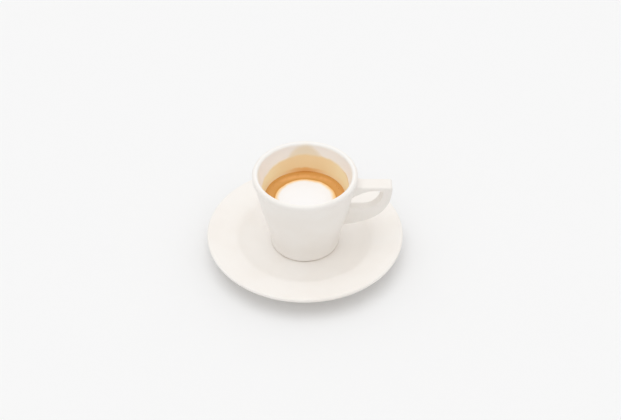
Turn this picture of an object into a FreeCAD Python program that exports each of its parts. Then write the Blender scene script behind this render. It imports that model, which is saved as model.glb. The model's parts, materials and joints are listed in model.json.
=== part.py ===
import FreeCAD, Part
import math
import os
from FreeCAD import Vector

# An espresso macchiato in its porcelain cup, standing on its saucer.
# Millimetres. Z is up, the table is z = 0 and every round piece shares the Z axis.
# The cup's handle points along +X.

# Saucer: a broad sloping rim round a shallow dished well, on a low foot ring.
SAUCER_RADIUS = 60.0
LIP_THICKNESS = 2.3
LIP_ROUNDING = 1.1
RIM_RISE = 3.1              # how far the rim climbs from the well's edge to the lip
WELL_EDGE_RADIUS = 41.7
WELL_DEPTH = 4.2            # from the well's edge down to its flat floor
WELL_SLOPE_WIDTH = 8.7      # width of the well's sloping side, seen from above
WELL_EDGE_SOFTNESS = 1.5
WELL_FLOOR_SOFTNESS = 6.5
SAUCER_WALL = 3.6
SAUCER_FOOT_RADIUS = 34.5
SAUCER_FOOT_WIDTH = 3.2
SAUCER_FOOT_HEIGHT = 3.0
SAUCER_FOOT_ROUNDING = 0.9

# Cup: a thick tulip wall that runs up into a rolled lip and down to a ground foot ring.
CUP_HEIGHT = 53.0
CUP_LIP_RADIUS = 31.35
CUP_LIP_WIDTH = 3.6
LIP_FLARE = 1.6             # how far the lip stands out past the neck
NECK_DEPTH = 7.0            # from the top of the lip down to the neck
NECK_TAPER = 0.14           # how fast the wall closes in at the neck, mm per mm
BELLY_REACH = 16.0          # length of the wall's tangents at the neck and the foot
LIP_TAPER = 0.10            # how fast the inside closes in just below the lip
CUP_FOOT_RADIUS = 20.7
CUP_FOOT_TAPER = 0.12
CUP_FOOT_ROUNDING = 1.3
CUP_FOOT_WIDTH = 3.4
CUP_FOOT_RECESS = 1.8       # how far the foot ring lifts the cup's base off the saucer
CUP_BASE = 3.6
CUP_BASE_WALL = 1.6         # the foot's radius less the inside's, where it turns to the floor
CUP_FLOOR_SOFTNESS = 6.0

# Handle: a flat-topped ear with rounded edges, broad under the thumb and narrower below.
HANDLE_WIDTH = 9.6          # at its flat top
HANDLE_END_WIDTH = 4.0      # where it ends on the wall
HANDLE_PROJECTION = 20.5    # from the lip's outer edge to the ear's outer corner
HANDLE_DEPTH = 7.9          # from the top of the lip down to the ear's flat top
HANDLE_LENGTH = 32.1        # from the flat top down to where the ear ends on the wall
HANDLE_CORNER = 1.6
HANDLE_SIDE_REACH = 15.3    # tangent of the outer edge, down from its corner
HANDLE_BELLY_REACH = 25.5   # tangent of the outer edge, out from its lower root
HANDLE_BELLY_RISE = 3.9
HANDLE_BAR = 3.0            # thickness of the bar over the finger hole
HANDLE_SIDE = 6.1           # thickness beside the finger hole's upper corner
HANDLE_ROUNDING = 1.2
TOP_SWEEP = 6.5             # length of the upper root's sweep up the wall
TOP_FLARE = 2.6             # and its height
HOLE_HEIGHT = 14.5
HOLE_CORNER = 1.5
HOLE_SIDE_REACH = 6.5
HOLE_BELLY_REACH = 8.0
HOLE_FLAT = 8.0             # length of the finger hole's flat lower edge
HOLE_ROOT_WIDTH = 11.0      # where the bar's underside starts to fall to the wall
HOLE_ROOT_DROP = 7.5
ROOT_BITE = 1.6             # how deep the ear's roots are let into the wall
ROOT_FILLET = 1.2

# Drink: crema up to its level in the cup, with a spoonful of milk foam afloat on it.
DRINK_DEPTH = 19.1          # from the top of the lip down to the crema
FOAM_RADIUS = 18.3
FOAM_CROWN = 1.2            # height of the foam's middle over the crema
FOAM_EDGE = 0.5             # height at which its edge turns down to the crema
FOAM_DRAUGHT = 2.6          # how deep it sits in the drink
FOAM_DRIFT = 1.5            # how far it has floated from the cup's axis, towards -Y

JOINT_MATCH = 0.001         # how near two edges' middles lie when they are the same edge

# Heights that follow from those sizes.
WELL_FLOOR_Z = SAUCER_FOOT_HEIGHT + SAUCER_WALL
WELL_EDGE_Z = WELL_FLOOR_Z + WELL_DEPTH
CUP_TOP_Z = WELL_FLOOR_Z + CUP_HEIGHT
DRINK_Z = CUP_TOP_Z - DRINK_DEPTH
CUP_FLOOR_Z = WELL_FLOOR_Z + CUP_FOOT_RECESS + CUP_BASE


def at(radius, height):
    """A point of a profile, drawn in the XZ plane."""
    return Vector(radius, 0, height)


def line(start, end):
    return Part.LineSegment(start, end).toShape()


def bezier(*poles):
    """A smooth curve that leaves its first pole towards the second."""
    curve = Part.BezierCurve()
    curve.setPoles(list(poles))
    return curve.toShape()


def arc(start, middle, end):
    return Part.Arc(start, middle, end).toShape()


def soft_outline(corners):
    """Straight runs through (radius, height, reach) corners, each turned by a tangent arc.

    The arc starts and ends at the corner's reach from it; a reach of 0 leaves it sharp.
    """
    edges = []
    points = [at(radius, height) for radius, height, reach in corners]
    previous = points[0]
    for index in range(1, len(corners) - 1):
        corner = points[index]
        reach = corners[index][2]
        back = (points[index - 1] - corner).normalize()
        ahead = (points[index + 1] - corner).normalize()
        start = corner + back * reach
        if (start - previous).Length > 1e-6:
            edges.append(line(previous, start))
        if reach > 0:
            half_angle = back.getAngle(ahead) / 2
            radius = reach * math.tan(half_angle)
            inward = (back + ahead).normalize()
            to_arc = radius / math.sin(half_angle) - radius
            edges.append(arc(start, corner + inward * to_arc, corner + ahead * reach))
        previous = corner + ahead * reach
    edges.append(line(previous, points[-1]))
    return edges


def revolved(edges):
    """The solid that a closed half profile sweeps out round the Z axis."""
    face = Part.Face(Part.Wire(edges))
    return face.revolve(Vector(0, 0, 0), Vector(0, 0, 1), 360)


def radius_at(edge, height):
    """The radius where a wall's curve passes a height."""
    level = line(at(0, height), at(2 * SAUCER_RADIUS, height))
    return edge.distToShape(level)[1][0][0].x


def make_saucer():
    rim_slope = RIM_RISE / (SAUCER_RADIUS - WELL_EDGE_RADIUS)
    lip_z = WELL_EDGE_Z + RIM_RISE
    under_lip_z = lip_z - LIP_THICKNESS
    under_edge_z = WELL_EDGE_Z - SAUCER_WALL
    foot_inner = SAUCER_FOOT_RADIUS - SAUCER_FOOT_WIDTH
    ring = SAUCER_FOOT_ROUNDING
    shoulder = SAUCER_FOOT_RADIUS + rim_slope * SAUCER_FOOT_HEIGHT
    top = [
        (0, WELL_FLOOR_Z, 0),
        (WELL_EDGE_RADIUS - WELL_SLOPE_WIDTH, WELL_FLOOR_Z, WELL_FLOOR_SOFTNESS),
        (WELL_EDGE_RADIUS, WELL_EDGE_Z, WELL_EDGE_SOFTNESS),
        (SAUCER_RADIUS, lip_z, LIP_ROUNDING),
    ]
    underside = [
        (SAUCER_RADIUS, under_lip_z, LIP_ROUNDING),
        (WELL_EDGE_RADIUS, under_edge_z, WELL_FLOOR_SOFTNESS / 2),
        (shoulder, SAUCER_FOOT_HEIGHT, ring),
        (SAUCER_FOOT_RADIUS, 0, ring),
        (foot_inner, 0, ring),
        (foot_inner - ring, SAUCER_FOOT_HEIGHT, ring),
        (0, SAUCER_FOOT_HEIGHT, 0),
    ]
    profile = soft_outline(top + underside)
    profile.append(line(at(0, SAUCER_FOOT_HEIGHT), at(0, WELL_FLOOR_Z)))
    return revolved(profile)


def outer_wall():
    """The cup's outside from its neck down to its foot."""
    neck = at(CUP_LIP_RADIUS - LIP_FLARE, CUP_TOP_Z - NECK_DEPTH)
    foot = at(CUP_FOOT_RADIUS, WELL_FLOOR_Z + CUP_FOOT_ROUNDING)
    below_neck = neck + at(-NECK_TAPER, -1) * BELLY_REACH
    above_foot = foot + at(CUP_FOOT_TAPER, 1) * BELLY_REACH
    return bezier(neck, below_neck, above_foot, foot)


def inner_profile():
    """The cup's inside from its lip down to the middle of its floor."""
    lip_half = CUP_LIP_WIDTH / 2
    lip = at(CUP_LIP_RADIUS - CUP_LIP_WIDTH, CUP_TOP_Z - lip_half)
    foot = at(CUP_FOOT_RADIUS - CUP_BASE_WALL, CUP_FLOOR_Z + CUP_FLOOR_SOFTNESS)
    below_lip = lip + at(-LIP_TAPER, -1) * BELLY_REACH
    above_foot = foot + at(CUP_FOOT_TAPER, 1) * BELLY_REACH
    below_foot = foot + at(-CUP_FOOT_TAPER, -1) * (CUP_FLOOR_SOFTNESS / 2)
    floor_edge = at(foot.x - CUP_FLOOR_SOFTNESS, CUP_FLOOR_Z)
    floor_turn = at(foot.x - CUP_FLOOR_SOFTNESS / 2, CUP_FLOOR_Z)
    wall = bezier(lip, below_lip, above_foot, foot)
    turn = bezier(foot, below_foot, floor_turn, floor_edge)
    floor = line(floor_edge, at(0, CUP_FLOOR_Z))
    return [wall, turn, floor]


def make_cup_body():
    """The bowl of the cup with its rolled lip and its foot ring, without the handle."""
    lip_half = CUP_LIP_WIDTH / 2
    lip_z = CUP_TOP_Z - lip_half
    lip_outer = at(CUP_LIP_RADIUS, lip_z)
    lip_top = at(CUP_LIP_RADIUS - lip_half, CUP_TOP_Z)
    lip_inner = at(CUP_LIP_RADIUS - CUP_LIP_WIDTH, lip_z)
    neck = at(CUP_LIP_RADIUS - LIP_FLARE, CUP_TOP_Z - NECK_DEPTH)
    flare_reach = (lip_z - neck.z) / 2
    flare = bezier(lip_outer, lip_outer - at(0, flare_reach), neck + at(NECK_TAPER, 1) * flare_reach, neck)
    foot_inner = CUP_FOOT_RADIUS - CUP_FOOT_WIDTH
    recess_z = WELL_FLOOR_Z + CUP_FOOT_RECESS
    rounding = CUP_FOOT_ROUNDING
    foot_ring = [
        (CUP_FOOT_RADIUS, WELL_FLOOR_Z + rounding, 0),
        (CUP_FOOT_RADIUS, WELL_FLOOR_Z, rounding),
        (foot_inner, WELL_FLOOR_Z, rounding / 2),
        (foot_inner - rounding, recess_z, rounding / 2),
        (0, recess_z, 0),
    ]
    profile = inner_profile()
    profile.append(line(at(0, CUP_FLOOR_Z), at(0, recess_z)))
    profile += soft_outline(foot_ring)
    profile += [outer_wall(), flare, arc(lip_outer, lip_top, lip_inner)]
    body = revolved(Part.__sortEdges__(profile))
    body.rotate(Vector(0, 0, 0), Vector(0, 0, 1), 180)  # its seam lies away from the handle
    return body


def ear_outline():
    """The handle seen from its side: one closed outline round the bar, the arm and both roots."""
    wall = outer_wall()
    top_z = CUP_TOP_Z - HANDLE_DEPTH
    hole_top_z = top_z - HANDLE_BAR
    hole_floor_z = hole_top_z - HOLE_HEIGHT
    end_z = top_z - HANDLE_LENGTH
    wall_x = radius_at(wall, top_z)
    corner_x = CUP_LIP_RADIUS + HANDLE_PROJECTION
    hole_x = corner_x - HANDLE_SIDE

    top_root = at(wall_x - ROOT_BITE, top_z + TOP_FLARE)
    top_start = at(wall_x + TOP_SWEEP, top_z)
    top_end = at(corner_x - HANDLE_CORNER, top_z)
    side_start = at(corner_x, top_z - HANDLE_CORNER)
    corner_centre = at(corner_x - HANDLE_CORNER, top_z - HANDLE_CORNER)
    corner_middle = corner_centre + at(1, 1) * (HANDLE_CORNER / math.sqrt(2))
    end_root = at(radius_at(wall, end_z) - ROOT_BITE, end_z)
    hole_root = at(radius_at(wall, hole_floor_z) - ROOT_BITE, hole_floor_z)
    hole_flat = at(radius_at(wall, hole_floor_z) + HOLE_FLAT, hole_floor_z)
    hole_side = at(hole_x, hole_top_z - HOLE_CORNER)
    hole_corner_centre = at(hole_x - HOLE_CORNER, hole_top_z - HOLE_CORNER)
    hole_corner = hole_corner_centre + at(1, 1) * (HOLE_CORNER / math.sqrt(2))
    hole_bar = at(hole_x - HOLE_CORNER, hole_top_z)
    bar_root = at(wall_x + HOLE_ROOT_WIDTH, hole_top_z)
    fall_z = hole_top_z - HOLE_ROOT_DROP
    fall_root = at(radius_at(wall, fall_z) - ROOT_BITE, fall_z)

    top_sweep = bezier(top_root, at(wall_x + ROOT_BITE, top_z), top_start)
    outer_edge = bezier(
        side_start,
        side_start - at(0, HANDLE_SIDE_REACH),
        end_root + at(HANDLE_BELLY_REACH, HANDLE_BELLY_RISE),
        end_root,
    )
    hole_belly = bezier(
        hole_flat,
        hole_flat + at(HOLE_BELLY_REACH, 0),
        hole_side - at(0, HOLE_SIDE_REACH),
        hole_side,
    )
    bar_fall = bezier(bar_root, bar_root - at(HOLE_ROOT_WIDTH / 2, 0), fall_root)
    shown = [
        top_sweep,
        line(top_start, top_end),
        arc(top_end, corner_middle, side_start),
        outer_edge,
        line(hole_root, hole_flat),
        hole_belly,
        arc(hole_side, hole_corner, hole_bar),
        line(hole_bar, bar_root),
        bar_fall,
    ]
    hidden = [line(end_root, hole_root), line(fall_root, top_root)]
    return shown, hidden


def ear_sides():
    """The wedge between the handle's two flat sides, which draw together as they go down."""
    narrowing = (HANDLE_WIDTH - HANDLE_END_WIDTH) / HANDLE_LENGTH

    def corner(side, height):
        drop = CUP_TOP_Z - HANDLE_DEPTH - height
        return Vector(0, side * (HANDLE_WIDTH - narrowing * drop) / 2, height)

    top = [corner(-1, CUP_TOP_Z), corner(1, CUP_TOP_Z)]
    bottom = [corner(1, WELL_FLOOR_Z), corner(-1, WELL_FLOOR_Z)]
    section = Part.Face(Part.makePolygon(top + bottom + top[:1]))
    return section.extrude(Vector(2 * (CUP_LIP_RADIUS + HANDLE_PROJECTION), 0, 0))


def make_handle():
    """The ear between its two sides, its long edges rounded all the way along."""
    shown, hidden = ear_outline()
    outline = Part.Wire(Part.__sortEdges__(shown + hidden))
    side = Part.Face(outline)
    side.translate(Vector(0, -HANDLE_WIDTH, 0))
    ear = side.extrude(Vector(0, 2 * HANDLE_WIDTH, 0)).common(ear_sides())
    roots = [edge.CenterOfMass for edge in hidden]

    def is_rounded(edge):
        start, end = edge.Vertexes[0].Point, edge.Vertexes[-1].Point
        across = start.y * end.y < 0
        middle = Vector(edge.CenterOfMass.x, 0, edge.CenterOfMass.z)
        at_root = any((middle - root).Length < 1e-3 for root in roots)
        return not across and not at_root

    return ear.makeFillet(HANDLE_ROUNDING, [edge for edge in ear.Edges if is_rounded(edge)])


def make_cup():
    """Bowl and handle as one piece, filleted all round both of the handle's roots."""
    body = make_cup_body()
    handle = make_handle()
    roots = [edge.CenterOfMass for edge in body.section(handle).Edges]
    cup = body.fuse(handle)
    joints = [
        edge
        for edge in cup.Edges
        if min((edge.CenterOfMass - root).Length for root in roots) < JOINT_MATCH
    ]
    return cup.makeFillet(ROOT_FILLET, joints)


def make_foam():
    """The milk foam: a soft-edged cake, crowned on top and rounded where it floats."""
    edge_z = DRINK_Z + FOAM_EDGE
    crown = at(0, DRINK_Z + FOAM_CROWN)
    edge = at(FOAM_RADIUS, edge_z - FOAM_EDGE)
    keel = at(0, DRINK_Z - FOAM_DRAUGHT)
    top = bezier(crown, at(FOAM_RADIUS / 2, crown.z), at(FOAM_RADIUS, edge_z), edge)
    below = bezier(edge, at(FOAM_RADIUS, keel.z), at(FOAM_RADIUS / 2, keel.z), keel)
    foam = revolved([top, below, line(keel, crown)])
    foam.translate(Vector(0, -FOAM_DRIFT, 0))
    return foam


def make_drink(foam):
    """The espresso: all of the cup's inside below its level, less the foam that floats in it."""
    profile = inner_profile()
    rim = profile[0].Vertexes[0].Point
    profile.append(line(at(0, CUP_FLOOR_Z), at(0, rim.z)))
    profile.append(line(at(0, rim.z), rim))
    inside = revolved(Part.__sortEdges__(profile))
    above = Part.makeCylinder(2 * CUP_LIP_RADIUS, CUP_HEIGHT, at(0, DRINK_Z))
    return inside.cut(above).cut(foam)


def main():
    os.makedirs("parts", exist_ok=True)
    foam = make_foam()
    nodes = {
        "saucer": make_saucer(),
        "cup": make_cup(),
        "espresso": make_drink(foam),
        "milk_foam": foam,
    }
    for name, shape in nodes.items():
        solid = shape.Solids[0] if len(shape.Solids) == 1 else shape
        solid.exportStep("parts/" + name + ".step")
        print(name, len(shape.Solids), "solid", round(shape.Volume), "mm3", shape.isValid())


main()
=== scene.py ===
import json
import math
import random

import bpy
from bpy.props import FloatProperty, FloatVectorProperty, IntProperty, PointerProperty
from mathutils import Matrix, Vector

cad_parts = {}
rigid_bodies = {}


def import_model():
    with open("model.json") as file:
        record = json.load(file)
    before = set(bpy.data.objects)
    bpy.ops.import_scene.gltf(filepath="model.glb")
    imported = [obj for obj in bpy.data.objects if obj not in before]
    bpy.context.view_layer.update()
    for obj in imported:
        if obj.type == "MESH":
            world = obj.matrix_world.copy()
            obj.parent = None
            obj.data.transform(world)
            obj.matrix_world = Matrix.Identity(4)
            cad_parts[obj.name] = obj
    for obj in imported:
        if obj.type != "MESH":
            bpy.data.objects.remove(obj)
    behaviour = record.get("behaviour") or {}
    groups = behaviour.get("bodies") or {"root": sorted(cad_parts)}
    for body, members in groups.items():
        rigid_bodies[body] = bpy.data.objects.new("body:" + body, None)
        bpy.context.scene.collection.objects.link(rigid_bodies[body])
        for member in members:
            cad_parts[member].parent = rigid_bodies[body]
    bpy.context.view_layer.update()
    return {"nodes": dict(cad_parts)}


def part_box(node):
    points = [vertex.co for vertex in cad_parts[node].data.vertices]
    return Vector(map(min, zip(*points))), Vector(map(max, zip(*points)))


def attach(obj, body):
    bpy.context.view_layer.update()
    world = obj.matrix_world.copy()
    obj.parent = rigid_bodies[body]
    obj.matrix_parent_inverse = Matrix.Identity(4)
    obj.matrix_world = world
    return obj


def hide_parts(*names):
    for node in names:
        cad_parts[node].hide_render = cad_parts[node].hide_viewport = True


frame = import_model()

bl_info = {
    "name": "Espresso Macchiato",
    "version": (1, 0, 0),
    "blender": (4, 5, 0),
    "location": "3D View > Sidebar > Macchiato",
    "description": "Finishes an espresso macchiato in its cup and saucer, in a pale studio",
    "category": "Object",
}

MM = 0.001
BODY = "root"

# Places read from the frame, in metres. The cup's axis is the frame's Z axis, its handle points
# to +X, and the back is +Y.
TABLE_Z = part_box("saucer")[0].z
CUP_LOW, CUP_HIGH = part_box("cup")
DRINK_LOW, DRINK_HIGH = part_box("espresso")
FOAM_LOW, FOAM_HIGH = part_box("milk_foam")
LIP_Z = CUP_HIGH.z
LIP_RADIUS = -CUP_LOW.x
DRINK_Z = DRINK_HIGH.z
DRINK_RADIUS = DRINK_HIGH.x
FOAM_RADIUS = (FOAM_HIGH.x - FOAM_LOW.x) / 2
FOAM_CENTRE = Vector(((FOAM_LOW.x + FOAM_HIGH.x) / 2, (FOAM_LOW.y + FOAM_HIGH.y) / 2, 0))

# The middle of the cup's wall, in millimetres: how far it lies inside the lip's outermost edge,
# and how much nearer the axis it comes with each millimetre down.
LIP_HALF_WIDTH = 1.8
WALL_CLOSING = 0.19


def linear(text):
    """An sRGB hex colour such as '#f5f1ed' as linear red, green and blue."""
    parts = [int(text[start : start + 2], 16) / 255 for start in (1, 3, 5)]
    return tuple(c / 12.92 if c <= 0.04045 else ((c + 0.055) / 1.055) ** 2.4 for c in parts)


def colour(name, text, description):
    """A colour setting, from its sRGB hex value."""
    return FloatVectorProperty(
        name=name,
        description=description,
        default=linear(text),
        subtype="COLOR",
        size=3,
        min=0,
        max=1,
    )


def length(name, millimetres, description):
    """A length setting."""
    return FloatProperty(
        name=name, description=description, default=millimetres * MM, unit="LENGTH"
    )


def angle(name, degrees, description):
    """An angle setting."""
    return FloatProperty(
        name=name, description=description, default=math.radians(degrees), subtype="ANGLE"
    )


class PorcelainSettings(bpy.types.PropertyGroup):
    body: colour("Body", "#faf6f1", "Colour of the fired porcelain under its glaze")
    body_cloud: colour("Body cloud", "#f8f3ed", "Colour of its faintly darker clouds")
    # Painted light: this whiter colour on the cup's inner face lifts the shade inside the cup.
    inside: colour("Inside", "#fdfbf8", "Colour of the thicker, whiter glaze inside the cup")
    # The bare ring's own colour, darkened as painted shade for the gap under the cup's foot.
    bisque_and_gap_shade: colour("Bisque", "#cfc3b2", "Colour of the bare ring that each piece stands on")
    bisque_height: length("Bisque height", 0.7, "From what a piece stands on up its bare ring")
    glaze_ripple: length("Glaze ripple", 14, "Spacing of the slow waves in the glaze")


class StainSettings(bpy.types.PropertyGroup):
    film: colour("Film", "#fbecc4", "Colour of the crema film left on the cup's wall")
    wet: colour("Wet film", "#edb368", "Colour of the wetter film just above the drink")
    splash: colour("Splash", "#f4e9d3", "Colour of the pale film that runs up to the lip")
    dried: colour("Dried edge", "#f0cf98", "Colour of the line where the film's edge has dried")
    edge_depth: length("Edge depth", 7.9, "From the top of the lip down to the film at the back")
    edge_fall: length("Edge fall", 4.5, "How much lower the film's edge is at the sides")
    edge_lean: length("Edge lean", 1.0, "How much higher the edge is on the handle's side")
    wet_depth: length("Wet depth", 15.4, "From the top of the lip down to the wetter film")
    splash_depth: length("Splash depth", 0.8, "From the top of the lip down to the splash")


class DrinkSettings(bpy.types.PropertyGroup):
    crema: colour("Crema", "#d99e56", "Colour of the crema between foam and wall")
    # Painted highlight: this pale colour paints the crema's sheen in a band between foam and wall;
    # it is also the crema's own colour washed round the foam and on the bubbles' tops.
    pale_crema_and_highlight: colour("Pale crema", "#e8ae6c", "Colour of the crema where milk has mixed in")
    # This deep colour also paints the shade line where the crema meets the wall at the back.
    crema_deep: colour("Deep crema", "#c47d24", "Colour of the crema where it is thinnest")
    foam: colour("Foam", "#fbfbfc", "Colour of the thick milk foam")
    foam_gold: colour("Golden foam", "#ffd898", "Colour of the foam's thin edge over the crema")
    meniscus: length("Meniscus", 0.35, "How far the crema climbs the cup's wall")
    foam_waves: length("Foam waves", 7, "Spacing of the soft swells on the foam")
    foam_relief: length("Foam relief", 0.5, "Height of those swells")
    foam_drift: length("Foam drift", 0.3, "How far the foam lies towards the handle")
    bubbles: IntProperty(
        name="Bubbles", description="Small bubbles on the crema", default=46, min=0
    )
    steps: IntProperty(
        name="Steps", description="Segments round the drink and foam", default=160, min=32
    )


class StageSettings(bpy.types.PropertyGroup):
    floor: colour("Floor", "#f6f6f6", "Colour of the studio floor")
    lens: FloatProperty(name="Lens", description="Focal length in millimetres", default=66.67)
    camera_height: angle("Camera height", 41.45, "How steeply the camera looks down")
    distance: length("Distance", 711.6, "From the camera to the point that it looks at")
    aim: FloatVectorProperty(
        name="Aim",
        description="The point that the camera looks at",
        default=(0.0033, 0.0118, 0.0200),
        subtype="XYZ",
        unit="LENGTH",
        size=3,
    )
    key: FloatProperty(
        name="Key light",
        description="What the overhead softbox adds on level ground, of about 1 in all",
        default=0.18,
    )
    key_bearing: angle("Key bearing", 150, "Where the softbox hangs, from +X round by the back")
    key_height: angle("Key height", 85, "How high the softbox stands over the horizon")
    key_spread: angle("Key spread", 50, "How wide the softbox looks from the table")
    horizon: FloatProperty(
        name="Horizon", description="Brightness of the room's walls", default=0.1
    )
    ceiling: FloatProperty(
        name="Ceiling", description="Brightness of the room overhead", default=0.86
    )
    ceiling_height: angle("Ceiling height", 18, "How high the room reaches full brightness")


# ---- materials ----

# What many nodes share: a ramp with soft ends, and a mix of two colours and its sockets.
SMOOTH = {"interpolation_type": "SMOOTHSTEP"}
MIXED = {"data_type": "RGBA", "output": 2}
SHARE, UNDER, OVER = 0, 6, 7

# Nearly all of a noise texture lies in the first of these ranges, and most of it in the second.
NOISE_RANGE = (0.2, 0.8)
NOISE_CORE = (0.3, 0.7)

# Widths of the patterns, in millimetres. The crema's cells are really about 0.3 mm and the
# foam's bubbles about 0.1 mm; both are drawn coarser, so that they show close to.
PORCELAIN_CLOUD = 22
GLAZE_WEAR = 9
BISQUE_GRIT = 0.3
FILM_WAVER = 8
WET_RIPPLE = 4
MILK_CLOUD = 5
CREMA_CELL = 0.5
FOAM_FRINGE = 4
FOAM_BUBBLE = 0.4
BUBBLE_SKIN = 0.2
CARD_SHADE = 400
CARD_FIBRE = 2

# Roughness, from the smoothest places to the roughest, and what is added on other finishes.
GLAZE_ROUGHNESS = (0.32, 0.38)
BISQUE_ADDS = 0.6
FILM_ADDS = 0.15
CREMA_ROUGHNESS = (0.32, 0.44)
FOAM_ROUGHNESS = (0.45, 0.6)
BUBBLE_ROUGHNESS = (0.05, 0.12)
CARD_ROUGHNESS = 0.9

# A glaze has an IOR of about 1.5, and this one is lower, matched to the cup's faint sheen. The
# drink's are water's 1.33 and a little more for its milk and oils.
GLAZE_IOR = 1.4
CREMA_IOR = 1.34
FOAM_IOR = 1.35
BUBBLE_IOR = 1.36
CARD_IOR = 1.3


def new_tree(name):
    """A new material of that name and its empty node tree."""
    material = bpy.data.materials.new(name)
    material.use_nodes = True
    material.node_tree.nodes.clear()
    return material, material.node_tree


def add_node(tree, kind, inputs=(), output=0, **properties):
    """Adds a node and returns one of its outputs, or nothing from a node that has none.

    Each input, by place or by name, is a value or the socket that feeds it.
    """
    node = tree.nodes.new(kind)
    for name, value in properties.items():
        setattr(node, name, value)
    for key, value in inputs.items() if isinstance(inputs, dict) else enumerate(inputs):
        if isinstance(value, bpy.types.NodeSocket):
            tree.links.new(value, node.inputs[key])
        else:
            node.inputs[key].default_value = value
    return node.outputs[output] if node.outputs else None


def measured_place(tree, centre=(0, 0, 0)):
    """The point's place in millimetres, measured from that centre."""
    place = add_node(tree, "ShaderNodeTexCoord", output="Object")
    shift = [-part / MM for part in centre]
    scaled = {"Vector": place, "Location": shift, "Scale": [1 / MM] * 3}
    return add_node(tree, "ShaderNodeMapping", scaled)


def axis_distance(tree, place):
    """How far that place is from the upright axis through its centre."""
    flat = add_node(tree, "ShaderNodeVectorMath", [place, (1, 1, 0)], operation="MULTIPLY")
    return add_node(tree, "ShaderNodeVectorMath", [flat], "Value", operation="LENGTH")


def opaque(values):
    """A colour setting with the alpha that a node's socket wants."""
    return (*values, 1.0)


def glaze(tree, place, foot_z, settings):
    """Colour, roughness and relief that both porcelain pieces share."""
    # The body's clouds are only just visible, and cover about half of it.
    cloud_start, cloud_end = 0.35, 0.7
    cloud = {"Vector": place, "Scale": 1 / PORCELAIN_CLOUD, "Detail": 2.0}
    cloud = add_node(tree, "ShaderNodeTexNoise", cloud)
    cloud = add_node(tree, "ShaderNodeMapRange", [cloud, cloud_start, cloud_end], **SMOOTH)
    hue = {SHARE: cloud, UNDER: opaque(settings.body), OVER: opaque(settings.body_cloud)}
    hue = add_node(tree, "ShaderNodeMix", hue, **MIXED)

    # The foot ring is wiped clean of glaze, so it is bare, matt and gritty, and its dark colour is
    # partly painted shade for the gap under the cup's foot. The glaze thins out over its last fifth
    # of a millimetre.
    thinning = 0.2
    height = add_node(tree, "ShaderNodeSeparateXYZ", [place], "Z")
    top = (foot_z + settings.bisque_height) / MM
    bare = add_node(tree, "ShaderNodeMapRange", [height, top, top - thinning], **SMOOTH)
    hue = {SHARE: bare, UNDER: hue, OVER: opaque(settings.bisque_and_gap_shade)}
    hue = add_node(tree, "ShaderNodeMix", hue, **MIXED)

    wear = {"Vector": place, "Scale": 1 / GLAZE_WEAR, "Detail": 3.0}
    wear = add_node(tree, "ShaderNodeTexNoise", wear)
    wear = add_node(tree, "ShaderNodeMapRange", [wear, *NOISE_RANGE, *GLAZE_ROUGHNESS])
    rough = add_node(tree, "ShaderNodeMath", [bare, BISQUE_ADDS, wear], operation="MULTIPLY_ADD")

    wave = {"Vector": place, "Scale": MM / settings.glaze_ripple, "Detail": 1.0}
    wave = add_node(tree, "ShaderNodeTexNoise", wave)
    relief = {"Height": wave, "Distance": 0.1 * MM, "Strength": 1.0}
    relief = add_node(tree, "ShaderNodeBump", relief)
    grit = {"Vector": place, "Scale": 1 / BISQUE_GRIT, "Detail": 4.0}
    grit = add_node(tree, "ShaderNodeTexNoise", grit)
    grit = add_node(tree, "ShaderNodeMath", [grit, bare], operation="MULTIPLY")
    relief = {"Height": grit, "Distance": 0.06 * MM, "Normal": relief}
    relief = add_node(tree, "ShaderNodeBump", relief)
    return hue, rough, relief


def finish(tree, hue, rough, relief, ior):
    """The shader and the material's output."""
    inputs = {"Base Color": hue, "Roughness": rough, "Normal": relief, "IOR": ior}
    shader = add_node(tree, "ShaderNodeBsdfPrincipled", inputs)
    add_node(tree, "ShaderNodeOutputMaterial", {"Surface": shader})


def glazed_porcelain(settings):
    """Hard-paste porcelain, slip-cast, glazed and fired: a milk-white body under a thin satin
    glaze. Soft lights lie on it as broad faint sheens without a sharp glint, and its hollows
    look warmer, because they light themselves by what they reflect."""
    material, tree = new_tree("glazed_porcelain")
    hue, rough, relief = glaze(tree, measured_place(tree), TABLE_Z, settings)
    finish(tree, hue, rough, relief, GLAZE_IOR)
    return material


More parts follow.
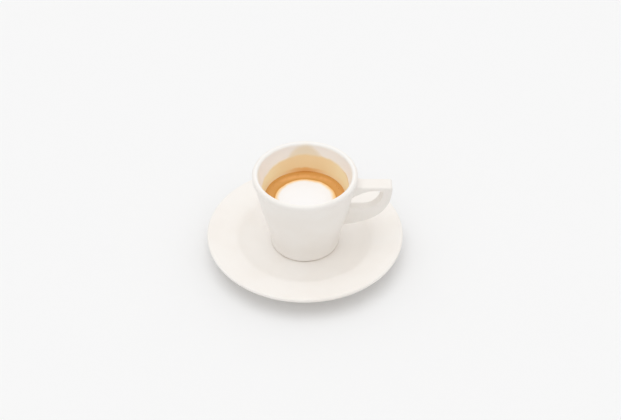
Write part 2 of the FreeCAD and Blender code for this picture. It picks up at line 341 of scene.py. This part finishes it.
def stained_porcelain(settings, stain):
    """The same porcelain with the film that crema leaves inside the cup as it is tilted: a thin
    tan wash, duller than the glaze, deeper where it is still wet above the drink, dried to a line
    on the handle's side, and one pale splash at the back."""
    material, tree = new_tree("stained_glazed_porcelain")
    place = measured_place(tree)
    hue, rough, relief = glaze(tree, place, CUP_LOW.z, settings)

    # Where the point is: its depth below the lip, its direction round the cup, where across is 1
    # at the handle and back is 1 at the back, and whether it is on the wall's inner face.
    x, y, height = (add_node(tree, "ShaderNodeSeparateXYZ", [place], axis) for axis in "XYZ")
    radius = axis_distance(tree, place)
    across = add_node(tree, "ShaderNodeMath", [x, radius], operation="DIVIDE")
    back = add_node(tree, "ShaderNodeMath", [y, radius], operation="DIVIDE")
    depth = add_node(tree, "ShaderNodeMath", [LIP_Z / MM, height], operation="SUBTRACT")
    middle = [depth, -WALL_CLOSING, LIP_RADIUS / MM - LIP_HALF_WIDTH]
    middle = add_node(tree, "ShaderNodeMath", middle, operation="MULTIPLY_ADD")
    inside = add_node(tree, "ShaderNodeMath", [radius, middle], operation="LESS_THAN")

    # The film's edge is lowest in front, and it wavers by a millimetre either way. The film
    # fades in from just above that edge to just below it.
    waver_height = 2.6
    fade_start, fade_end = -1.1, 1.4
    fall = stain.edge_fall / MM
    edge = [back, -fall, stain.edge_depth / MM + fall]
    edge = add_node(tree, "ShaderNodeMath", edge, operation="MULTIPLY_ADD")
    edge = [across, -stain.edge_lean / MM, edge]
    edge = add_node(tree, "ShaderNodeMath", edge, operation="MULTIPLY_ADD")
    waver = {"Vector": place, "Scale": 1 / FILM_WAVER, "Detail": 2.0}
    waver = add_node(tree, "ShaderNodeTexNoise", waver)
    below = add_node(tree, "ShaderNodeMath", [depth, edge], operation="SUBTRACT")
    below = add_node(tree, "ShaderNodeMath", [waver, waver_height, below], operation="MULTIPLY_ADD")
    below = add_node(tree, "ShaderNodeMath", [below, waver_height / 2], operation="SUBTRACT")
    film = add_node(tree, "ShaderNodeMapRange", [below, fade_start, fade_end], **SMOOTH)
    film = add_node(tree, "ShaderNodeMath", [film, inside], operation="MULTIPLY")

    # The wetter film is strong in a narrow place at the back and faint at the sides. Over its
    # whole depth the film is also a little thicker towards the back.
    ripple_height, narrowness = 1.6, 9.0
    fade_start, fade_end = -0.6, 2.0
    wet_at_sides, wet_at_back, thick_at_back = 0.12, 0.9, 0.3
    ripple = {"Vector": place, "Scale": 1 / WET_RIPPLE, "Detail": 3.0}
    ripple = add_node(tree, "ShaderNodeTexNoise", ripple)
    wet = add_node(tree, "ShaderNodeMath", [ripple, ripple_height, depth], operation="MULTIPLY_ADD")
    top = stain.wet_depth / MM + ripple_height / 2
    wet = [wet, top + fade_start, top + fade_end]
    wet = add_node(tree, "ShaderNodeMapRange", wet, **SMOOTH)
    reach = add_node(tree, "ShaderNodeMath", [back, 0.0], operation="MAXIMUM")
    reach = add_node(tree, "ShaderNodeMath", [reach, narrowness], operation="POWER")
    reach = [reach, wet_at_back - wet_at_sides, wet_at_sides]
    reach = add_node(tree, "ShaderNodeMath", reach, operation="MULTIPLY_ADD")
    wet = add_node(tree, "ShaderNodeMath", [wet, reach], operation="MULTIPLY")
    thick = add_node(tree, "ShaderNodeMapRange", [back, 0.5, 1.0, 0.0, thick_at_back], **SMOOTH)
    wet = add_node(tree, "ShaderNodeMath", [wet, thick], operation="MAXIMUM")
    tint = {SHARE: wet, UNDER: opaque(stain.film), OVER: opaque(stain.wet)}
    tint = add_node(tree, "ShaderNodeMix", tint, **MIXED)

    # The splash is a round tongue at the back, up to the lip. Its top drops away with the square
    # of the way across, and it fades in over some millimetres.
    drop = 46.0
    fade_start, fade_end = -0.4, 4.4
    tongue = add_node(tree, "ShaderNodeMath", [across, across], operation="MULTIPLY")
    tongue = [tongue, drop, stain.splash_depth / MM]
    tongue = add_node(tree, "ShaderNodeMath", tongue, operation="MULTIPLY_ADD")
    tongue = add_node(tree, "ShaderNodeMath", [depth, tongue], operation="SUBTRACT")
    tongue = [waver, waver_height, tongue]
    tongue = add_node(tree, "ShaderNodeMath", tongue, operation="MULTIPLY_ADD")
    splash = add_node(tree, "ShaderNodeMapRange", [tongue, fade_start, fade_end], **SMOOTH)
    at_back = add_node(tree, "ShaderNodeMath", [back, 0.0], operation="GREATER_THAN")
    for mask in (at_back, inside):
        splash = add_node(tree, "ShaderNodeMath", [splash, mask], operation="MULTIPLY")

    # The dried line runs just below the film's edge, near the handle only.
    line_depth, line_reach, line_core, line_strength = 0.6, 0.6, 0.1, 0.8
    handle_start, handle_end = 0.8, 0.93
    line = add_node(tree, "ShaderNodeMath", [below, line_depth], operation="SUBTRACT")
    line = add_node(tree, "ShaderNodeMath", [line], operation="ABSOLUTE")
    line = add_node(tree, "ShaderNodeMapRange", [line, line_reach, line_core], **SMOOTH)
    by_handle = [across, handle_start, handle_end, 0.0, line_strength]
    by_handle = add_node(tree, "ShaderNodeMapRange", by_handle)
    for mask in (by_handle, inside):
        line = add_node(tree, "ShaderNodeMath", [line, mask], operation="MULTIPLY")

    # The inner face is painted whiter, as painted light that lifts the shade inside the cup; the
    # splash, the film and the dried line go over it.
    coats = (
        (inside, opaque(settings.inside)),
        (splash, opaque(stain.splash)),
        (film, tint),
        (line, opaque(stain.dried)),
    )
    for share, coat in coats:
        hue = {SHARE: share, UNDER: hue, OVER: coat}
        hue = add_node(tree, "ShaderNodeMix", hue, **MIXED)
    rough = add_node(tree, "ShaderNodeMath", [film, FILM_ADDS, rough], operation="MULTIPLY_ADD")
    finish(tree, hue, rough, relief, GLAZE_IOR)
    return material


def fresh_crema(settings):
    """Crema, the foam of coffee oils and carbon dioxide on a fresh espresso: golden brown and wet,
    with cells that break its gloss into a soft sheen, a pale band of painted highlight between foam
    and wall, darker where it thins against the foam and the cup, and a line of painted shade where
    it meets the wall at the back."""
    material, tree = new_tree("fresh_crema")
    place = measured_place(tree)
    wall, shore = DRINK_RADIUS / MM, FOAM_RADIUS / MM
    radius = axis_distance(tree, place)
    foam_distance = axis_distance(tree, measured_place(tree, FOAM_CENTRE))
    back = add_node(tree, "ShaderNodeSeparateXYZ", [place], "Y")
    cloud = {"Vector": place, "Scale": 1 / MILK_CLOUD, "Detail": 4.0}
    cloud = add_node(tree, "ShaderNodeTexNoise", cloud)
    # Painted highlight: a pale band between foam and wall, broken by the clouds and strongest at
    # the back, stands in for the crema's sheen.
    band_middle = shore + 3.2
    off_band = add_node(tree, "ShaderNodeMath", [foam_distance, band_middle], operation="SUBTRACT")
    off_band = add_node(tree, "ShaderNodeMath", [off_band], operation="ABSOLUTE")

    # A ramp is what it reads, where that starts and ends, and the strengths at those two ends, 0
    # and 1 unless it says. The first three are the painted highlight's. The others deepen the crema
    # along the foam and the wall, and paint shade in a narrow line where it meets the wall's very
    # back.
    ramps = (
        (off_band, 2.6, 0.3),
        (cloud, 0.4, 0.6, 0.35, 1.0),
        (back, 0.3 * wall, 0.75 * wall, 0.2, 1.0),
        (foam_distance, shore + 1.5, shore + 0.3, 0.0, 0.3),
        (radius, wall - 2.6, wall - 0.9, 0.0, 0.14),
        (radius, wall - 1.4, wall - 0.5),
        (back, 0.93 * wall, wall, 0.03, 0.9),
    )
    highlight_band, broken, behind, near_foam, near_wall, wall_crease_shade, crease_shade_at_back = (
        add_node(tree, "ShaderNodeMapRange", ramp, **SMOOTH) for ramp in ramps
    )
    # Painted highlight: pale streaks on the crema, strongest at the back.
    pale = add_node(tree, "ShaderNodeMath", [highlight_band, broken], operation="MULTIPLY")
    pale = add_node(tree, "ShaderNodeMath", [pale, behind], operation="MULTIPLY")
    # Painted shade: a narrow dark line in the crease where the crema meets the wall, at its very
    # back.
    wall_crease_shade = add_node(tree, "ShaderNodeMath", [wall_crease_shade, crease_shade_at_back], operation="MULTIPLY")
    deep_and_crease_shade = add_node(tree, "ShaderNodeMath", [near_foam, near_wall], operation="MAXIMUM")
    deep_and_crease_shade = add_node(tree, "ShaderNodeMath", [deep_and_crease_shade, wall_crease_shade], operation="MAXIMUM")
    hue = opaque(settings.crema)
    for share, tint in ((pale, settings.pale_crema_and_highlight), (deep_and_crease_shade, settings.crema_deep)):
        hue = {SHARE: share, UNDER: hue, OVER: opaque(tint)}
        hue = add_node(tree, "ShaderNodeMix", hue, **MIXED)

    cells = {"Vector": place, "Scale": 1 / CREMA_CELL}
    cells = add_node(tree, "ShaderNodeTexVoronoi", cells, "Distance")
    relief = {"Height": cells, "Distance": 0.02 * MM, "Strength": 0.5}
    relief = add_node(tree, "ShaderNodeBump", relief)
    rough = add_node(tree, "ShaderNodeMapRange", [cloud, *NOISE_RANGE, *CREMA_ROUGHNESS])
    finish(tree, hue, rough, relief, CREMA_IOR)
    return material


def steamed_milk_foam(settings):
    """Steamed milk foam, spooned on: bubbles too fine to see make it dense, white and satin, and
    its thin edge is golden, because the crema shows through."""
    material, tree = new_tree("steamed_milk_foam")
    place = measured_place(tree, FOAM_CENTRE)
    radius = axis_distance(tree, place)
    edge = FOAM_RADIUS / MM

    # The golden fringe, and outside it a wash of crema, both with an uneven line.
    fringe_waver = 1.6
    waver = {"Vector": place, "Scale": 1 / FOAM_FRINGE, "Detail": 3.0}
    waver = add_node(tree, "ShaderNodeTexNoise", waver)
    out = add_node(tree, "ShaderNodeMath", [waver, fringe_waver, radius], operation="MULTIPLY_ADD")
    thin = add_node(tree, "ShaderNodeMapRange", [out, edge - 2.4, edge + 0.6], **SMOOTH)
    wash = add_node(tree, "ShaderNodeMapRange", [out, edge + 0.2, edge + 1.0, 0.0, 0.6])
    hue = opaque(settings.foam)
    for share, tint in ((thin, settings.foam_gold), (wash, settings.pale_crema_and_highlight)):
        hue = {SHARE: share, UNDER: hue, OVER: opaque(tint)}
        hue = add_node(tree, "ShaderNodeMix", hue, **MIXED)

    fine = {"Vector": place, "Scale": 1 / FOAM_BUBBLE, "Detail": 3.0}
    fine = add_node(tree, "ShaderNodeTexNoise", fine)
    relief = {"Height": fine, "Distance": 0.015 * MM, "Strength": 0.5}
    relief = add_node(tree, "ShaderNodeBump", relief)
    rough = add_node(tree, "ShaderNodeMapRange", [fine, *NOISE_CORE, *FOAM_ROUGHNESS])
    finish(tree, hue, rough, relief, FOAM_IOR)
    return material


def bubble_film(settings):
    """A bubble in crema: a thin skin of coffee oil, pale on top and amber at its rim, with a hard
    glint."""
    material, tree = new_tree("crema_bubble_film")
    place = measured_place(tree)
    rim_height = 0.35
    level = DRINK_Z / MM
    height = add_node(tree, "ShaderNodeSeparateXYZ", [place], "Z")
    rise = add_node(tree, "ShaderNodeMapRange", [height, level, level + rim_height], **SMOOTH)
    hue = {SHARE: rise, UNDER: opaque(settings.crema_deep), OVER: opaque(settings.pale_crema_and_highlight)}
    hue = add_node(tree, "ShaderNodeMix", hue, **MIXED)
    skin = {"Vector": place, "Scale": 1 / BUBBLE_SKIN, "Detail": 2.0}
    skin = add_node(tree, "ShaderNodeTexNoise", skin)
    relief = {"Height": skin, "Distance": 0.01 * MM, "Strength": 0.3}
    relief = add_node(tree, "ShaderNodeBump", relief)
    rough = add_node(tree, "ShaderNodeMapRange", [skin, *NOISE_CORE, *BUBBLE_ROUGHNESS])
    finish(tree, hue, rough, relief, BUBBLE_IOR)
    return material


def matt_white_card(settings):
    """White card with a matt coating: shades that drift slowly over it and fibres too low to
    glint, so it only takes the object's shadow."""
    material, tree = new_tree("matt_white_card")
    place = measured_place(tree)
    darker = 0.995
    shade = add_node(tree, "ShaderNodeTexNoise", {"Vector": place, "Scale": 1 / CARD_SHADE})
    shaded = opaque([part * darker for part in settings.floor])
    hue = {SHARE: shade, UNDER: opaque(settings.floor), OVER: shaded}
    hue = add_node(tree, "ShaderNodeMix", hue, **MIXED)
    fibre = add_node(tree, "ShaderNodeTexNoise", {"Vector": place, "Scale": 1 / CARD_FIBRE})
    relief = {"Height": fibre, "Distance": 0.01 * MM, "Strength": 0.2}
    relief = add_node(tree, "ShaderNodeBump", relief)
    finish(tree, hue, CARD_ROUGHNESS, relief, CARD_IOR)
    return material


# ---- modelling ----

# Corners nearer than this are one corner, and a cut leaves some that are a little further apart.
SAME_CORNER = 0.002 * MM
CUT_CORNER = 0.005 * MM

# The foam's side: how high its shoulder stands, of its whole height over the crema, and how many
# points its outline has above and below the crema's level.
SHOULDER_SHARE = 0.4
CROWN_POINTS = 24
KEEL_POINTS = 12

# The crema starts to climb this far from the wall and reaches a little into it, so that no gap
# shows. Its sides then follow the wall down, at these shares of its depth.
MENISCUS_WIDTH = 2.2 * MM
MENISCUS_STEPS = 9
INTO_WALL = 0.12 * MM
SIDE_SHARES = (0.05, 0.2, 0.4, 0.6, 0.75, 0.85, 0.93, 0.98, 1.0)

# The bubbles' radii, how far they stay from the wall and how high their middles stand over the
# crema, in millimetres, how high each is for its width, and where it is cut off below, in radii.
BUBBLE_RADII = (0.14, 0.34)
BUBBLE_GAPS = (0, 0, 0.1, 0.5, 2.2)
BUBBLE_LIFT = 0.05
BUBBLE_FLATNESS = 0.7
BUBBLE_CUT = -0.3
BUBBLE_SEED = 7


def deselect_all():
    for item in bpy.context.view_layer.objects:
        item.select_set(False)


def wall_rings(node):
    """The (height, radius) rings of a CAD node whose wall only widens upwards."""
    rings = []
    for place in sorted((v.co.z, v.co.xy.length) for v in frame["nodes"][node].data.vertices):
        if not rings or place[1] > rings[-1][1]:
            rings.append(place)
    return rings


def wall_radius(rings, height):
    """How far that wall reaches from the Z axis at a height, or at its nearest ring's height."""
    for (low, narrow), (high, wide) in zip(rings, rings[1:]):
        if low < height <= high:
            return narrow + (wide - narrow) * (height - low) / (high - low)
    return rings[0][1] if height <= rings[0][0] else rings[-1][1]


def bezier_points(poles, count):
    """Points along a cubic curve, with its first end left out."""
    shares = [index / count for index in range(1, count + 1)]
    blend = [((1 - t) ** 3, 3 * t * (1 - t) ** 2, 3 * t * t * (1 - t), t**3) for t in shares]
    return [
        tuple(sum(w * pole[axis] for w, pole in zip(row, poles)) for axis in (0, 1))
        for row in blend
    ]


def spin_outline(name, points, steps, centre):
    """A round, closed piece from its half outline of (radius, height) points, top to bottom."""
    deselect_all()
    start = (centre[0] + points[0][0], centre[1], points[0][1])
    bpy.ops.mesh.primitive_plane_add(size=1 * MM, location=start)
    piece = bpy.context.object
    piece.name = name
    bpy.ops.object.transform_apply(location=True, rotation=True, scale=True)
    bpy.ops.object.mode_set(mode="EDIT")
    bpy.ops.mesh.merge(type="CENTER")
    for before, after in zip(points, points[1:]):
        move = (after[0] - before[0], 0, after[1] - before[1])
        bpy.ops.mesh.extrude_vertices_move(TRANSFORM_OT_translate={"value": move})
    bpy.ops.mesh.select_all(action="SELECT")
    bpy.ops.mesh.spin(steps=steps, angle=2 * math.pi, center=centre, axis=(0, 0, 1))
    bpy.ops.mesh.select_all(action="SELECT")
    bpy.ops.mesh.remove_doubles(threshold=SAME_CORNER)
    bpy.ops.mesh.normals_make_consistent(inside=False)
    bpy.ops.object.mode_set(mode="OBJECT")
    return piece


def apply_modifier(piece, kind, **settings):
    modifier = piece.modifiers.new(kind.title(), kind)
    for name, value in settings.items():
        setattr(modifier, name, value)
    bpy.context.view_layer.objects.active = piece
    bpy.ops.object.modifier_apply(modifier=modifier.name)


def merge_close(piece):
    """Joins corners that a cut has left almost together, and turns all faces outwards."""
    bpy.context.view_layer.objects.active = piece
    bpy.ops.object.mode_set(mode="EDIT")
    bpy.ops.mesh.select_all(action="SELECT")
    bpy.ops.mesh.remove_doubles(threshold=CUT_CORNER)
    bpy.ops.mesh.dissolve_degenerate(threshold=SAME_CORNER)
    bpy.ops.mesh.normals_make_consistent(inside=False)
    bpy.ops.object.mode_set(mode="OBJECT")


def smooth(piece, degrees=35):
    """Shades a piece smooth, except over edges sharper than that."""
    deselect_all()
    piece.select_set(True)
    bpy.context.view_layer.objects.active = piece
    bpy.ops.object.shade_smooth_by_angle(angle=math.radians(degrees))


def give(piece, material, slot, *nodes):
    """Coats a new piece, hangs it on the body and lets it stand for its CAD nodes."""
    piece.data.materials.clear()
    piece.data.materials.append(material)
    if nodes:
        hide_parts(*nodes)
    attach(piece, BODY)


def recoat(node, material):
    """A CAD node keeps its mesh and takes a finished material."""
    piece = frame["nodes"][node]
    for material_slot in piece.material_slots:
        material_slot.material = material


class MACCHIATO_OT_saucer(bpy.types.Operator):
    """Glazes the saucer"""

    bl_idname = "macchiato.saucer"
    bl_label = "Saucer"

    def execute(self, context):
        recoat("saucer", glazed_porcelain(context.scene.porcelain))
        return {"FINISHED"}


class MACCHIATO_OT_cup(bpy.types.Operator):
    """Glazes the cup and stains its inside with crema"""

    bl_idname = "macchiato.cup"
    bl_label = "Cup"

    def execute(self, context):
        material = stained_porcelain(context.scene.porcelain, context.scene.stain)
        recoat("cup", material)
        return {"FINISHED"}


class MACCHIATO_OT_foam(bpy.types.Operator):
    """Spoons on the milk foam: a soft-edged cake with slow swells, a little uneven at its edge"""

    bl_idname = "macchiato.foam"
    bl_label = "Milk foam"

    def execute(self, context):
        settings = context.scene.drink
        edge, crown, keel = FOAM_RADIUS, FOAM_HIGH.z, FOAM_LOW.z
        shoulder = DRINK_Z + SHOULDER_SHARE * (crown - DRINK_Z)
        above = [(0, crown), (edge / 2, crown), (edge, shoulder), (edge, DRINK_Z)]
        under = [(edge, DRINK_Z), (edge, keel), (edge / 2, keel), (0, keel)]
        points = [(0, crown)]
        points += bezier_points(above, CROWN_POINTS)
        points += bezier_points(under, KEEL_POINTS)
        piece = spin_outline("milk_foam_cap", points, settings.steps, FOAM_CENTRE)
        swell = bpy.data.textures.new("foam_swell", "CLOUDS")
        swell.noise_scale = settings.foam_waves
        swell.noise_depth = 1
        height = settings.foam_relief
        apply_modifier(piece, "DISPLACE", texture=swell, strength=height, mid_level=0.5)
        bpy.ops.object.mode_set(mode="EDIT")
        bpy.ops.mesh.select_all(action="SELECT")
        bpy.ops.transform.translate(value=(settings.foam_drift, 0, 0))
        bpy.ops.object.mode_set(mode="OBJECT")
        smooth(piece)
        give(piece, steamed_milk_foam(settings), "milk_foam", "milk_foam")
        return {"FINISHED"}


class MACCHIATO_OT_espresso(bpy.types.Operator):
    """Fills the cup to its level, with crema that climbs a little at the wall and makes way for
    the foam, which comes first"""

    bl_idname = "macchiato.espresso"
    bl_label = "Espresso"

    def execute(self, context):
        settings = context.scene.drink
        foam = bpy.data.objects["milk_foam_cap"]
        edge = DRINK_RADIUS + INTO_WALL
        points = [(0, DRINK_Z), (edge / 2, DRINK_Z)]
        for step in range(MENISCUS_STEPS + 1):
            share = step / MENISCUS_STEPS
            climb = settings.meniscus * share**3
            points.append((edge - MENISCUS_WIDTH * (1 - share), DRINK_Z + climb))
        depth = DRINK_Z - DRINK_LOW.z
        rings = wall_rings("espresso")
        for share in SIDE_SHARES:
            height = DRINK_Z - depth * share
            points.append((wall_radius(rings, height), height))
        points.append((0, DRINK_LOW.z))
        piece = spin_outline("espresso_crema", points, settings.steps, (0, 0, 0))
        apply_modifier(piece, "BOOLEAN", object=foam, operation="DIFFERENCE", solver="EXACT")
        merge_close(piece)
        smooth(piece)
        give(piece, fresh_crema(settings), "crema", "espresso")
        return {"FINISHED"}


class MACCHIATO_OT_bubbles(bpy.types.Operator):
    """Scatters a few small bubbles on the crema, most of them against the wall"""

    bl_idname = "macchiato.bubbles"
    bl_label = "Bubbles"

    def execute(self, context):
        settings = context.scene.drink
        chance = random.Random(BUBBLE_SEED)
        deselect_all()
        bpy.ops.mesh.primitive_ico_sphere_add(subdivisions=2, radius=1)
        first = bpy.context.object
        bpy.ops.object.mode_set(mode="EDIT")
        bpy.ops.mesh.bisect(
            plane_co=(0, 0, BUBBLE_CUT), plane_no=(0, 0, 1), use_fill=True, clear_inner=True
        )
        bpy.ops.object.mode_set(mode="OBJECT")
        bubbles = []
        for _ in range(settings.bubbles):
            turn = chance.uniform(0, 2 * math.pi)
            size = chance.uniform(*BUBBLE_RADII) * MM
            out = DRINK_RADIUS - size - chance.choice(BUBBLE_GAPS) * MM
            bubble = first.copy()
            bubble.data = first.data.copy()
            context.scene.collection.objects.link(bubble)
            height = DRINK_Z + BUBBLE_LIFT * MM
            bubble.location = (out * math.cos(turn), out * math.sin(turn), height)
            bubble.scale = (size, size, size * BUBBLE_FLATNESS)
            bubbles.append(bubble)
        bpy.data.objects.remove(first)
        deselect_all()
        for bubble in bubbles:
            bubble.select_set(True)
        context.view_layer.objects.active = bubbles[0]
        bpy.ops.object.join()
        bpy.ops.object.transform_apply(location=True, rotation=True, scale=True)
        piece = context.object
        piece.name = "crema_bubbles"
        smooth(piece, degrees=60)
        give(piece, bubble_film(settings), "crema")
        return {"FINISHED"}


# ---- stage ----

# In metres: the floor's side, wide enough to have no edge in view, and how far off the lamp hangs.
FLOOR_SIDE = 6
LAMP_DISTANCE = 2


def lay_floor(settings):
    deselect_all()
    bpy.ops.mesh.primitive_plane_add(size=FLOOR_SIDE, location=(0, 0, TABLE_Z))
    floor = bpy.context.object
    floor.name = "studio_floor"
    floor.data.materials.append(matt_white_card(settings))


def light_room(scene, settings):
    """A white room, dim along its walls and evenly bright above them."""
    world = bpy.data.worlds.new("white_room")
    scene.world = world
    world.use_nodes = True
    tree = world.node_tree
    tree.nodes.clear()
    direction = add_node(tree, "ShaderNodeTexCoord", output="Generated")
    upward = add_node(tree, "ShaderNodeSeparateXYZ", [direction], "Z")
    full = math.sin(settings.ceiling_height)
    strength = [upward, 0.0, full, settings.horizon, settings.ceiling]
    strength = add_node(tree, "ShaderNodeMapRange", strength, **SMOOTH)
    light = {"Color": (1, 1, 1, 1), "Strength": strength}
    light = add_node(tree, "ShaderNodeBackground", light)
    add_node(tree, "ShaderNodeOutputWorld", {"Surface": light})


def hang_softbox(settings):
    """A wide lamp overhead, as strong as it takes to add the key light on level ground."""
    height, bearing = settings.key_height, settings.key_bearing
    level = math.cos(height)
    towards = Vector((math.cos(bearing) * level, math.sin(bearing) * level, math.sin(height)))
    deselect_all()
    bpy.ops.object.light_add(type="SUN", location=towards * LAMP_DISTANCE)
    lamp = bpy.context.object
    lamp.name = "overhead_softbox"
    lamp.data.angle = settings.key_spread
    lamp.data.energy = settings.key * math.pi / math.sin(height)
    lamp.rotation_euler = towards.to_track_quat("Z", "Y").to_euler()


def set_camera(scene, settings):
    """The camera in front, level from side to side and looking down at its aim."""
    up = settings.camera_height
    away = Vector((0, -math.cos(up), math.sin(up)))
    deselect_all()
    place = Vector(settings.aim) + away * settings.distance
    bpy.ops.object.camera_add(location=place, rotation=(math.pi / 2 - up, 0, 0))
    camera = bpy.context.object
    camera.name = "camera"
    camera.data.sensor_width = 36
    camera.data.lens = settings.lens
    camera.data.clip_start = 10 * MM
    camera.data.clip_end = 50
    scene.camera = camera
    scene.view_settings.view_transform = "Standard"


class MACCHIATO_OT_stage(bpy.types.Operator):
    """Lays the pale floor, hangs the lamps and sets the camera"""

    bl_idname = "macchiato.stage"
    bl_label = "Studio"

    def execute(self, context):
        settings = context.scene.stage
        lay_floor(settings)
        light_room(context.scene, settings)
        hang_softbox(settings)
        set_camera(context.scene, settings)
        return {"FINISHED"}


class MACCHIATO_PT_panel(bpy.types.Panel):
    """The macchiato's pieces, one button each, and their sizes and colours"""

    bl_label = "Espresso Macchiato"
    bl_idname = "MACCHIATO_PT_panel"
    bl_space_type = "VIEW_3D"
    bl_region_type = "UI"
    bl_category = "Macchiato"

    def draw(self, context):
        for operator in OPERATORS:
            self.layout.operator(operator.bl_idname)
        for name in GROUPS:
            group = getattr(context.scene, name)
            box = self.layout.box()
            for key in group.__annotations__:
                box.prop(group, key)


OPERATORS = (
    MACCHIATO_OT_stage,
    MACCHIATO_OT_saucer,
    MACCHIATO_OT_cup,
    MACCHIATO_OT_foam,
    MACCHIATO_OT_espresso,
    MACCHIATO_OT_bubbles,
)
GROUPS = {
    "porcelain": PorcelainSettings,
    "stain": StainSettings,
    "drink": DrinkSettings,
    "stage": StageSettings,
}


def register():
    for kind in (*GROUPS.values(), *OPERATORS, MACCHIATO_PT_panel):
        bpy.utils.register_class(kind)
    for name, kind in GROUPS.items():
        setattr(bpy.types.Scene, name, PointerProperty(type=kind))


def unregister():
    for name in GROUPS:
        delattr(bpy.types.Scene, name)
    for kind in (MACCHIATO_PT_panel, *reversed(OPERATORS), *reversed(tuple(GROUPS.values()))):
        bpy.utils.unregister_class(kind)


def main():
    register()
    bpy.ops.macchiato.stage()
    bpy.ops.macchiato.saucer()
    bpy.ops.macchiato.cup()
    bpy.ops.macchiato.foam()
    bpy.ops.macchiato.espresso()
    bpy.ops.macchiato.bubbles()


if __name__ == "__main__":
    main()
